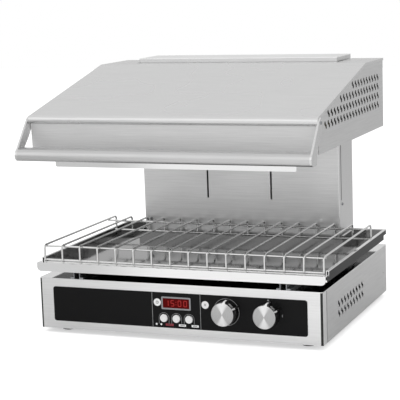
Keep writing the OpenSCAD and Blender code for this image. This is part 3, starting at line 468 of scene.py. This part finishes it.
def make_materials():
    """Every finish of the grill, by the name of its slot or use."""
    f = bpy.context.scene.grill_finish
    return {
        # Stainless sheet, brushed across the width: soft grey with a drawn-out sheen
        "satin_steel": brushed_steel("Brushed stainless", f.satin, "#d2d2d2", f.satin_rough,
                                     ACROSS, 0.04),
        # The fascia is the same sheet, drawn paler as painted light, with a thin dark painted reflection in its
        # bent corners
        "fascia_steel": steel_with_painted_bend_reflection("Brushed stainless with painted bend reflection", "#eeeeee", "#e6e6e6",
                                   f.satin_rough, ACROSS, 0.04),
        # The same sheet at the sides, where the brush lines run from front to back
        "side_steel": brushed_steel("Stainless brushed front to back", f.satin, "#d2d2d2",
                                    f.satin_rough, FRONT_TO_BACK, 0.04),
        # Stainless sheet, finely brushed: softer lines and a closer sheen
        "bright_steel": brushed_steel("Finely brushed stainless", f.bright, "#d6d6d6",
                                      f.bright_rough, ACROSS, 0.03),
        # The recessed panel behind the bar: coarser, so that it mirrors next to nothing, and painted paler as
        # painted light
        "panel_steel": brushed_steel("Matt brushed stainless", "#e2e2e2", "#dadada", 0.6,
                                     ACROSS, 0.03),
        # Stainless sheet, polished to a mirror: shows the column and the wires again
        "mirror_steel": mirror_steel("Mirror-polished stainless"),
        # The tray is polished too, but painted greyer in the pan as painted dark reflection, and painted black
        # under the folded edges as painted shade
        "tray_steel": tray_steel("Mirror-polished stainless with painted shade and reflection"),
        # The column's cap lies flat under the lamps: finely brushed, and painted nearly white as painted light
        "cap_steel": brushed_steel("Brushed stainless painted pale as lit", "#fafafa", "#f4f4f4", 0.3,
                                   ACROSS, 0.03),
        # Stainless tube, brushed after bending, painted darker as painted shade, with one soft line of light
        "bar_steel": brushed_steel("Brushed stainless tube", "#cecece", "#c6c6c6", 0.36,
                                   ACROSS, 0.03),
        # Stainless wire, drawn bright: thin sharp highlights along each wire
        "drawn_wire": speckled("Drawn stainless wire", f.wire, "#d4d4d3", f.wire_rough, 3 * MM,
                               metallic=1.0, bump=0.03),
        # Zinc plate on mild steel: dull blue-grey, faint spangle
        "zinc_steel": speckled("Zinc plate", "#a9abae", "#8b8d90", 0.42, 3 * MM, metallic=1.0),
        # Hard chrome on a ground rod: sharp white highlights
        "ground_steel": plain("Hard chrome", "#dcdddf", 0.12, Metallic=1.0),
        # Printed polyester film: deep even black with only a faint sheen
        "black_panel": speckled("Black polyester film", f.plate, "#080809", 0.42, 0.5 * MM,
                                bump=0.02, Specular_IOR_Level=0.15),
        # Moulded ABS: flat light grey
        "frame_grey": speckled("Moulded grey ABS", "#9a9a9d", "#919194", 0.45, 0.6 * MM),
        # Tinted acrylic filter with lamps behind it: a deep red that glows a little
        "red_window": plain("Tinted acrylic", f.window, 0.3, Specular_IOR_Level=0.06,
                            Emission_Color=linear(f.window), Emission_Strength=0.2),
        # Moulded white polycarbonate: clean, satin white
        "white_plastic": speckled("Moulded white polycarbonate", f.ink_white, "#f6f6f6", 0.32,
                                  0.8 * MM),
        # Moulded black nylon: matt charcoal
        "dark_plastic": speckled("Moulded black nylon", "#2c2c2f", "#222225", 0.55, 0.7 * MM),
        # Solder-masked board: slightly glossy green
        "board_green": plain("Green solder mask", "#1f5a38", 0.3),
        # Turned brass: warm yellow metal
        "brass_part": speckled("Turned brass", "#c9a862", "#b8964f", 0.3, 1 * MM, metallic=1.0),
        # Moulded rubber: matt black, soft edges
        "rubber_black": speckled("Moulded black rubber", "#1d1d1f", "#151517", 0.75, 0.8 * MM),
        # Varnished iron laminations: dull brown
        "core_steel": speckled("Varnished iron", "#5b4a3a", "#4a3c2f", 0.5, 0.6 * MM),
        # Glass-ceramic: almost black, glassy
        "dark_glass": plain("Glass-ceramic", "#1a1b1e", 0.08, Coat_Weight=0.5),
        # Milky quartz tube: pale and glassy
        "quartz": plain("Milky quartz", "#e8e2d6", 0.25, Transmission_Weight=0.3),
        # Fired steatite: matt cream
        "ceramic": speckled("Fired steatite", "#e6e0d2", "#dcd5c4", 0.7, 1 * MM),
        # Mineral wool: rough, yellowish, fibrous
        "wool": speckled("Mineral wool", "#c9bf98", "#a89d74", 0.95, 4 * MM, bump=0.8),
        # Baked enamel on the spring tubes: smooth, glossy black
        "black_paint": plain("Baked black enamel", "#141416", 0.3),
        # Screen inks on the control plate: thin, flat and matt marks
        "line_ink": plain("Grey screen ink", f.ink_light, 0.5),
        "white_ink": plain("White screen ink", f.ink_white, 0.45),
        "red_ink": plain("Red screen ink", f.ink_red, 0.45),
        "dark_ink": plain("Black screen ink", "#2b2b2d", 0.5),
        # Lit segments: plain glowing red
        "lit_red": plain("Lit segment", f.digits, 0.4, Emission_Color=linear(f.digits),
                         Emission_Strength=0.15),
    }


MATERIALS = {}

# Pieces whose surface differs from the plain finish of their slot
SPECIAL = {"base_side_left": "side_steel", "base_side_right": "side_steel",
           "hood_side_left": "side_steel", "hood_side_right": "side_steel",
           "base_deck": "mirror_steel", "drip_tray": "tray_steel",
           "hood_front": "panel_steel", "handle_bar": "bar_steel",
           "base_front": "fascia_steel", "column_cap": "cap_steel", "tray_runners": "zinc_steel",
           "heater_box": "mirror_steel", "reflector": "mirror_steel",
           "rack_grid": "drawn_wire", "rack_ends": "drawn_wire"}


# -------------------------------------------------------------- mesh tools

# A face looks one way if at least this much of its normal points that way
LOOKING = 0.9

# A disc's softened rim, as a share of its radius, and its raised face, as one of its thickness
DISC_RIM = 0.12
DISC_RISE = 0.2


def deselect():
    """Leaves edit mode and selects nothing."""
    if bpy.context.object and bpy.context.object.mode != "OBJECT":
        bpy.ops.object.mode_set(mode="OBJECT")
    bpy.ops.object.select_all(action="DESELECT")


def take(piece):
    """Makes piece the only selected and active object."""
    deselect()
    piece.select_set(True)
    bpy.context.view_layer.objects.active = piece


def edit(piece, mode="VERT"):
    """Opens a piece in edit mode with nothing selected."""
    take(piece)
    bpy.ops.object.mode_set(mode="EDIT")
    bpy.ops.mesh.select_mode(type=mode)
    bpy.ops.mesh.select_all(action="DESELECT")


def pick_faces(piece, test):
    """In edit mode, selects the faces whose world centre and normal pass the test."""
    bpy.ops.object.mode_set(mode="OBJECT")
    place = piece.matrix_world
    turn = place.to_3x3()
    for face in piece.data.polygons:
        face.select = bool(test(place @ face.center, (turn @ face.normal).normalized()))
    bpy.ops.object.mode_set(mode="EDIT")


def settle(piece):
    """Bakes place, turn and size into the mesh and points the faces of closed shells outwards."""
    take(piece)
    bpy.ops.object.transform_apply(location=True, rotation=True, scale=True)
    bpy.ops.object.mode_set(mode="EDIT")
    bpy.ops.mesh.select_all(action="SELECT")
    bpy.ops.mesh.remove_doubles(threshold=0.002 * MM)
    bpy.ops.mesh.normals_make_consistent(inside=False)
    bpy.ops.object.mode_set(mode="OBJECT")
    piece.select_set(False)


def hand_over(piece, name, finish, body, smooth=True):
    """Names the piece, gives it its finish and lets it move with a body."""
    settle(piece)
    piece.name = name
    piece.data.name = name
    piece.data.materials.clear()
    piece.data.materials.append(MATERIALS[finish])
    if smooth:
        take(piece)
        bpy.ops.object.shade_smooth_by_angle(angle=math.radians(35))
    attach(piece, body)
    piece.select_set(False)


def add_disc(x, z, radius, depth, back_y, sides):
    """A round plate whose back lies at back_y and whose face looks forward, with a softened rim."""
    deselect()
    bpy.ops.mesh.primitive_cylinder_add(vertices=sides, radius=radius, depth=depth,
                                        location=(x, back_y - depth / 2, z),
                                        rotation=(math.pi / 2, 0, 0))
    piece = bpy.context.object
    edit(piece, "FACE")
    pick_faces(piece, lambda c, n: n.y < -LOOKING)
    bpy.ops.mesh.inset(thickness=min(radius * DISC_RIM, depth))
    bpy.ops.transform.translate(value=(0, -depth * DISC_RISE, 0))
    bpy.ops.object.mode_set(mode="OBJECT")
    return piece


def add_bar(x, z, width, height, depth, back_y, corner):
    """A flat plate whose back lies at back_y: width by height, with its corners rounded."""
    deselect()
    bpy.ops.mesh.primitive_cube_add(size=1, location=(x, back_y - depth / 2, z),
                                    scale=(width, depth, height))
    piece = bpy.context.object
    bpy.ops.object.transform_apply(location=False, rotation=False, scale=True)
    edit(piece, "EDGE")
    bpy.ops.object.mode_set(mode="OBJECT")
    for edge in piece.data.edges:
        a, b = (piece.data.vertices[v].co for v in edge.vertices)
        edge.select = abs(a.y - b.y) > depth / 2
    bpy.ops.object.mode_set(mode="EDIT")
    bpy.ops.mesh.bevel(offset=corner, offset_type="OFFSET", segments=3)
    bpy.ops.object.mode_set(mode="OBJECT")
    return piece


def add_band(x, z, radius, width, depth, back_y, sweep, steps, leg=0.0):
    """A flat ring or arc about (x, z), spun from the right, with a straight leg at each end.

    A full turn leaves a hidden face across the band at every step.
    """
    centre = (x, back_y - depth / 2, z)
    deselect()
    bpy.ops.mesh.primitive_plane_add(size=1, location=centre)
    piece = bpy.context.object
    edit(piece, "FACE")
    bpy.ops.mesh.select_all(action="SELECT")
    bpy.ops.transform.resize(value=(width, depth, 1), center_override=centre)
    bpy.ops.transform.translate(value=(radius, 0, 0))
    if leg:
        bpy.ops.mesh.duplicate()
        bpy.ops.mesh.extrude_region_move(TRANSFORM_OT_translate={"value": (0, 0, -leg)})
        bpy.ops.mesh.select_all(action="DESELECT")
        pick_faces(piece, lambda c, n: c.z > z - leg / 2 and abs(n.z) > LOOKING)
    bpy.ops.mesh.spin(steps=steps, angle=sweep, center=centre, axis=(0, 1, 0))
    if leg:
        bpy.ops.mesh.extrude_region_move(TRANSFORM_OT_translate={"value": (0, 0, -leg)})
    bpy.ops.object.mode_set(mode="OBJECT")
    return piece


def copy_of(piece, shift):
    """A copy of a piece with its own mesh, moved by shift."""
    made = piece.copy()
    made.data = piece.data.copy()
    bpy.context.scene.collection.objects.link(made)
    made.data.transform(Matrix.Translation(shift))
    return made


def joined(pieces):
    """Several pieces as one."""
    deselect()
    for piece in pieces:
        piece.select_set(True)
    bpy.context.view_layer.objects.active = pieces[0]
    if len(pieces) > 1:
        bpy.ops.object.join()
    return bpy.context.object


# ----------------------------------------------------------- printed marks

# The dark rule across a label, as shares of the label's width and height
RULE_W = 0.62
RULE_H = 0.22


def place_marks(marks, name, ink):
    """Makes printed marks one piece, which stays with the base."""
    hand_over(joined(marks), name, ink, "base", smooth=False)


def print_lines(p):
    """The two upright lines that divide the plate and the thin ring round the left knob."""
    height = PLATE_HIGH.z - PLATE_LOW.z - p.divider_gap
    lines = [add_bar(side * p.divider_x, PLATE_MIDDLE, p.divider_w, height, p.ink, PLATE_FACE,
                     corner=p.divider_w * 0.3) for side in (-1, 1)]
    place_marks(lines, "divider_lines", "line_ink")
    x, _, z = JOINTS["knob_left_turn"]["pos_m"]
    ring = add_band(x, z, p.ring_r, p.ring_w, p.ink, PLATE_FACE, FULL_TURN, steps=72)
    place_marks([ring], "knob_ring", "line_ink")


def print_power_marks(p):
    """A dot above the right knob and a tick to the right of it."""
    x, _, z = JOINTS["knob_right_turn"]["pos_m"]
    dot = add_disc(x + p.mark_shift, z + p.dot_up, p.dot_r, p.ink, PLATE_FACE, sides=20)
    tick = add_bar(x + p.tick_x, z - p.mark_shift, p.tick_w, p.tick_h, p.ink, PLATE_FACE,
                   corner=0.5 * MM)
    place_marks([dot, tick], "power_marks", "line_ink")


def print_arches(p):
    """The round-topped outline over each button."""
    arches = []
    for name in ("button_left", "button_middle", "button_right"):
        spot = middle(name)
        arches.append(add_band(spot.x, spot.z, p.arch_r, p.arch_w, p.ink, PLATE_FACE,
                               FULL_TURN / 2, steps=24, leg=p.arch_leg))
    place_marks(arches, "button_arches", "line_ink")


def print_labels(p):
    """A red and two white labels, each with a dark rule across it, and a pair of white dots."""
    z = PLATE_MIDDLE - p.label_down
    places = [p.label_x + i * p.label_step for i in (-1, 0, 1)]
    labels = [add_bar(x, z, p.label_w, p.label_h, p.ink, PLATE_FACE, p.label_corner)
              for x in places[1:]]
    dots = [add_disc(p.spot_x + side * p.spot_step / 2, z, p.spot_r, p.ink, PLATE_FACE, sides=20)
            for side in (-1, 1)]
    place_marks(labels + dots, "white_labels", "white_ink")
    red = add_bar(places[0], z, p.red_w, p.label_h, p.ink, PLATE_FACE, p.label_corner)
    place_marks([red], "red_label", "red_ink")
    rules = [add_bar(x, z, p.label_w * RULE_W, p.label_h * RULE_H, p.ink, PLATE_FACE - p.ink,
                     p.label_corner / 2) for x in places]
    place_marks(rules, "label_rules", "dark_ink")


def print_pictograms(p):
    """Two white discs: a clock on the left one and three lines of heat on the right one."""
    z = PLATE_MIDDLE + p.badge_up
    discs = [add_disc(x, z, p.badge_r, p.ink, PLATE_FACE, sides=48)
             for x in (p.badge_left, p.badge_right)]
    place_marks(discs, "pictogram_discs", "white_ink")
    front = PLATE_FACE - p.ink * (1 + DISC_RISE)
    clock = add_band(p.badge_left, z, p.clock_r, p.picture_w, p.ink, front, FULL_TURN, steps=32)
    # Both hands begin this much before the clock's middle, so that they meet there
    cross = 0.1 * MM
    up = add_bar(p.badge_left, z + p.hand_up / 2 - cross, p.hand_w, p.hand_up, p.ink, front, cross)
    right = add_bar(p.badge_left + p.hand_right / 2 - cross, z, p.hand_right, p.hand_w, p.ink,
                    front, cross)
    heat = [add_bar(p.badge_right, z + i * p.heat_step, p.heat_w - abs(i) * MM, p.picture_w,
                    p.ink, front, corner=0.2 * MM) for i in (-1, 0, 1)]
    place_marks([clock, up, right] + heat, "pictograms", "dark_ink")


# ------------------------------------------------------------------ studio

def lay_floor(s):
    """A wide sheet of paper under the grill."""
    deselect()
    bpy.ops.mesh.primitive_plane_add(size=14, location=(0, 0, 0))
    floor = bpy.context.object
    floor.name = "floor"
    edit(floor, "FACE")
    bpy.ops.mesh.select_all(action="SELECT")
    bpy.ops.mesh.subdivide(number_cuts=3)
    bpy.ops.object.mode_set(mode="OBJECT")
    floor.data.materials.append(studio_paper(s))


def hang_lamp(name, power, size, place, aim, mirrored):
    """A soft rectangular lamp at a place, turned to its aim, which metal mirrors or not."""
    light = bpy.data.lights.new(name, "AREA")
    light.energy = power
    light.shape = "RECTANGLE"
    light.size, light.size_y = size
    made = bpy.data.objects.new(name, light)
    made.location = place
    made.rotation_euler = (Vector(aim) - Vector(place)).to_track_quat("-Z", "Y").to_euler()
    made.visible_glossy = mirrored
    bpy.context.scene.collection.objects.link(made)


def hang_lamps(s):
    """Two lamps in one place overhead and one at the right.

    Metal mirrors only the weaker one overhead, so its highlights keep below white.
    """
    overhead = {"size": (3.4, 2.4), "place": (-0.3, -1.4, 2.6), "aim": (0, 0, 0.3)}
    hang_lamp("overhead_softbox", s.key, mirrored=False, **overhead)
    hang_lamp("overhead_sheen", s.sheen, mirrored=True, **overhead)
    hang_lamp("side_softbox", s.side, size=(1.4, 1.8), place=(2.6, -0.6, 1.2), aim=(0, 0, 0.25),
              mirrored=False)


def make_world(s):
    """An even light all round, with a white background for the camera.

    Reflections and what shows through glass see a background that grows paler upwards and
    towards the front.
    """
    world = bpy.data.worlds.new("Studio")
    world.use_nodes = True
    tree = world.node_tree
    tree.nodes.clear()
    rays = add_node(tree, "ShaderNodeLightPath")
    seen = add_node(tree, "ShaderNodeMath", {"operation": "MAXIMUM"},
                    links={0: (rays, "Is Glossy Ray"), 1: (rays, "Is Transmission Ray")})
    place = add_node(tree, "ShaderNodeTexCoord")
    parts = add_node(tree, "ShaderNodeSeparateXYZ", links={"Vector": (place, "Generated")})
    height = add_node(tree, "ShaderNodeMapRange", {"interpolation_type": "SMOOTHSTEP"},
                      {"From Min": -0.1, "From Max": 0.9, "To Min": 0.65, "To Max": 0.92},
                      {"Value": (parts, "Z")})
    front = add_node(tree, "ShaderNodeMapRange", {"interpolation_type": "SMOOTHSTEP"},
                     {"From Min": -0.25, "From Max": -0.8, "To Min": 0.0, "To Max": s.front},
                     {"Value": (parts, "Y")})
    both = add_node(tree, "ShaderNodeMath", {"operation": "ADD"},
                    links={0: (height, "Result"), 1: (front, "Result")})
    even = add_node(tree, "ShaderNodeBackground", sockets={"Color": WHITE, "Strength": s.sky})
    mirrored = add_node(tree, "ShaderNodeBackground", sockets={"Color": WHITE},
                        links={"Strength": (both, "Value")})
    white = add_node(tree, "ShaderNodeBackground",
                     sockets={"Color": WHITE, "Strength": s.backdrop})
    around = add_node(tree, "ShaderNodeMixShader",
                      links={0: (seen, "Value"), 1: (even, "Background"),
                             2: (mirrored, "Background")})
    whole = add_node(tree, "ShaderNodeMixShader",
                     links={0: (rays, "Is Camera Ray"), 1: (around, "Shader"),
                            2: (white, "Background")})
    add_node(tree, "ShaderNodeOutputWorld", links={"Surface": (whole, "Shader")})
    return world


def camera_turn(s):
    """The camera's turn, from its yaw, pitch and roll."""
    ahead = Vector((-math.sin(s.yaw) * math.cos(s.pitch), math.cos(s.yaw) * math.cos(s.pitch),
                    math.sin(s.pitch)))
    level = Vector((math.cos(s.yaw), math.sin(s.yaw), 0))
    upright = level.cross(ahead)
    side = level * math.cos(s.roll) + upright * math.sin(s.roll)
    up = upright * math.cos(s.roll) - level * math.sin(s.roll)
    return Matrix((side, up, -ahead)).transposed().to_4x4()


def place_camera(s):
    """A camera where the photograph was taken from."""
    lens = bpy.data.cameras.new("photo_camera")
    lens.sensor_width = 36
    lens.lens = s.lens
    lens.clip_end = 50
    camera = bpy.data.objects.new("photo_camera", lens)
    place = Vector((s.camera_x, BASE_LOW.y - s.camera_y, BASE_LOW.z + s.camera_z))
    camera.matrix_world = Matrix.Translation(place) @ camera_turn(s)
    bpy.context.scene.collection.objects.link(camera)
    return camera


# --------------------------------------------------------------- operators

class GRILL_OT_finishes(bpy.types.Operator):
    """Makes the finishes and gives one to every CAD piece"""
    bl_idname = "grill.finishes"
    bl_label = "Finishes"

    def execute(self, context):
        MATERIALS.update(make_materials())
        for part in frame["record"]["subparts"]:
            node = frame["nodes"][part["node"]]
            node.data.materials.clear()
            finish = SPECIAL.get(part["node"], part["material_slot"])
            node.data.materials.append(MATERIALS[finish])
        return {"FINISHED"}


class GRILL_OT_knobs(bpy.types.Operator):
    """Dresses both knobs with softened edges and a lathe-turned finish"""
    bl_idname = "grill.knobs"
    bl_label = "Knobs"

    def execute(self, context):
        f = context.scene.grill_finish
        for side in ("left", "right"):
            name = "knob_" + side
            piece = self.merged_copy(frame["nodes"][name])
            bevel = piece.modifiers.new("Bevel", "BEVEL")
            bevel.width = f.knob_edge
            bevel.segments = 3
            bevel.limit_method = "ANGLE"
            bevel.angle_limit = math.radians(30)
            bpy.ops.object.modifier_apply(modifier=bevel.name)
            centre = JOINTS[name + "_turn"]["pos_m"]
            finish = name + "_turned"
            MATERIALS[finish] = turned_aluminium("Turned aluminium " + side, "#c2c2c2",
                                                 "#a6a6a6", 0.3, centre)
            hand_over(piece, name + "_cap", finish, name)
            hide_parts(name)
        return {"FINISHED"}

    @staticmethod
    def merged_copy(node):
        """A free copy of a CAD node whose loose triangles are merged into whole faces."""
        deselect()
        piece = node.copy()
        piece.data = node.data.copy()
        piece.parent = None
        for key in list(piece.keys()):
            del piece[key]
        bpy.context.scene.collection.objects.link(piece)
        edit(piece)
        bpy.ops.mesh.select_all(action="SELECT")
        bpy.ops.mesh.remove_doubles(threshold=0.005 * MM)
        bpy.ops.mesh.dissolve_limited(angle_limit=math.radians(1))
        bpy.ops.object.mode_set(mode="OBJECT")
        return piece


class GRILL_OT_plate_print(bpy.types.Operator):
    """Prints the lines, rings, labels and pictogram discs of the control plate"""
    bl_idname = "grill.plate_print"
    bl_label = "Printed plate"

    def execute(self, context):
        for print_part in (print_lines, print_power_marks, print_arches, print_labels,
                           print_pictograms):
            print_part(context.scene.grill_print)
        return {"FINISHED"}


class GRILL_OT_display(bpy.types.Operator):
    """Puts four lit seven-segment digits and a colon on the display window"""
    bl_idname = "grill.display"
    bl_label = "Display digits"

    # Which of the seven segments are lit: top, upper right, lower right, bottom, lower left,
    # upper left, middle
    LIT = {"0": "1111110", "1": "0110000", "5": "1011011"}
    SHOWN = "1500"

    def execute(self, context):
        p = context.scene.grill_print
        low, high = corners("display_window")
        face = low.y
        centre_z = (low.z + high.z) / 2
        w, h, s = p.digit_w, p.digit_h, p.stroke
        gap = s * 0.2
        tip = s * 0.45
        flat = add_bar(0, centre_z, w - s - gap, s, p.digit_deep, face, tip)
        settle(flat)
        tall = add_bar(0, centre_z, s, (h - s) / 2 - gap, p.digit_deep, face, tip)
        settle(tall)
        half_w = (w - s) / 2
        half_h = (h - s) / 2
        places = [(flat, 0, half_h), (tall, half_w, half_h / 2), (tall, half_w, -half_h / 2),
                  (flat, 0, -half_h), (tall, -half_w, -half_h / 2), (tall, -half_w, half_h / 2),
                  (flat, 0, 0)]
        made = []
        columns = (-p.digit_far, -p.digit_near, p.digit_near, p.digit_far)
        for x, figure in zip(columns, self.SHOWN):
            for on, (part, dx, dz) in zip(self.LIT[figure], places):
                if on == "1":
                    made.append(copy_of(part, (x + dx, 0, dz)))
        for side in (-1, 1):
            made.append(add_disc(0, centre_z + side * p.colon_up, p.colon_r, p.digit_deep, face,
                                 sides=16))
        for part in (flat, tall):
            bpy.data.objects.remove(part)
        place_marks(made, "display_digits", "lit_red")
        return {"FINISHED"}


class GRILL_OT_studio(bpy.types.Operator):
    """Sets the floor, the soft lamps, the world and the camera"""
    bl_idname = "grill.studio"
    bl_label = "Studio"

    def execute(self, context):
        s = context.scene.grill_studio
        lay_floor(s)
        hang_lamps(s)
        context.scene.world = make_world(s)
        context.scene.camera = place_camera(s)
        context.scene.view_settings.view_transform = "Standard"
        return {"FINISHED"}


class GRILL_PT_panel(bpy.types.Panel):
    """Lists the steps that dress the grill"""
    bl_idname = "GRILL_PT_panel"
    bl_label = "Lift grill"
    bl_space_type = "VIEW_3D"
    bl_region_type = "UI"
    bl_category = "Grill"

    def draw(self, context):
        for step in STEPS:
            self.layout.operator(step.bl_idname)


STEPS = (GRILL_OT_finishes, GRILL_OT_knobs, GRILL_OT_plate_print, GRILL_OT_display,
         GRILL_OT_studio)
GROUPS = {"grill_print": GrillPrint, "grill_finish": GrillFinish, "grill_studio": GrillStudio}


def register():
    """Makes the settings, the steps and the panel known to Blender."""
    for group in GROUPS.values():
        bpy.utils.register_class(group)
    for name, group in GROUPS.items():
        setattr(bpy.types.Scene, name, bpy.props.PointerProperty(type=group))
    for step in STEPS:
        bpy.utils.register_class(step)
    bpy.utils.register_class(GRILL_PT_panel)


def unregister():
    """Takes all of them away again."""
    bpy.utils.unregister_class(GRILL_PT_panel)
    for step in reversed(STEPS):
        bpy.utils.unregister_class(step)
    for name, group in GROUPS.items():
        delattr(bpy.types.Scene, name)
        bpy.utils.unregister_class(group)


def main():
    """Dresses the grill step by step."""
    register()
    bpy.ops.grill.finishes()
    bpy.ops.grill.knobs()
    bpy.ops.grill.plate_print()
    bpy.ops.grill.display()
    bpy.ops.grill.studio()


if __name__ == "__main__":
    main()
